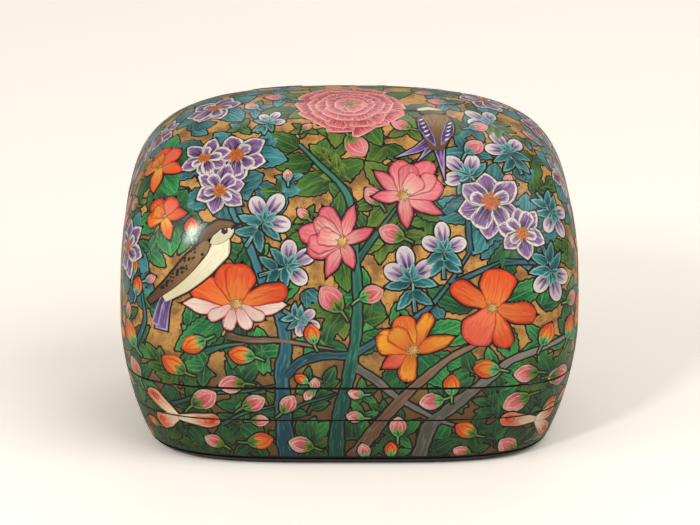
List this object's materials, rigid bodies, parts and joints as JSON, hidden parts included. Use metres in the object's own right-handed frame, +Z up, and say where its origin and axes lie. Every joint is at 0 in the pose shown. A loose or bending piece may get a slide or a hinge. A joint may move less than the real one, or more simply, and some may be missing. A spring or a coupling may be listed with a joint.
{
  "type": "papier mache box",
  "caption": "Lacquered papier mache box with a domed pillow-shaped lid, a shallow lift-out tray under it and a flat-footed base, painted all over with flowers and birds",
  "frame": {"origin": "Centre of the flat underside of the foot, on the ground plane", "axes": "+X is the width, left to right as seen from the front; +Y runs from the front to the back; +Z is up. The painted front in the picture faces -Y"},
  "size_m": [0.15, 0.114, 0.1105],
  "materials": {
    "painted_ground": "Moulded paper pulp with a dull gold painted ground, flowers, leaves and birds in gouache, and a glossy clear varnish",
    "black_lacquered_board": "Pasted paper board, black paint under a glossy clear varnish",
    "black_lacquered_collar": "Pasted paper board bent to a ring, dark reddish black paint under a clear varnish"
  },
  "bodies": {
    "base": {"base_board": "black_lacquered_board", "base_shell": "painted_ground", "base_collar": "black_lacquered_collar"},
    "tray": {"tray_band": "painted_ground", "tray_board": "black_lacquered_board", "tray_collar": "black_lacquered_collar"},
    "lid": {"lid_shell": "painted_ground"}
  },
  "joints": [
    {"name": "tray_lift", "type": "slide", "parent": "base", "child": "tray", "axis": [0, 0, 1], "range_m": [0, 0.045]},
    {"name": "lid_lift", "type": "slide", "parent": "tray", "child": "lid", "axis": [0, 0, 1], "range_m": [0, 0.08]}
  ]
}
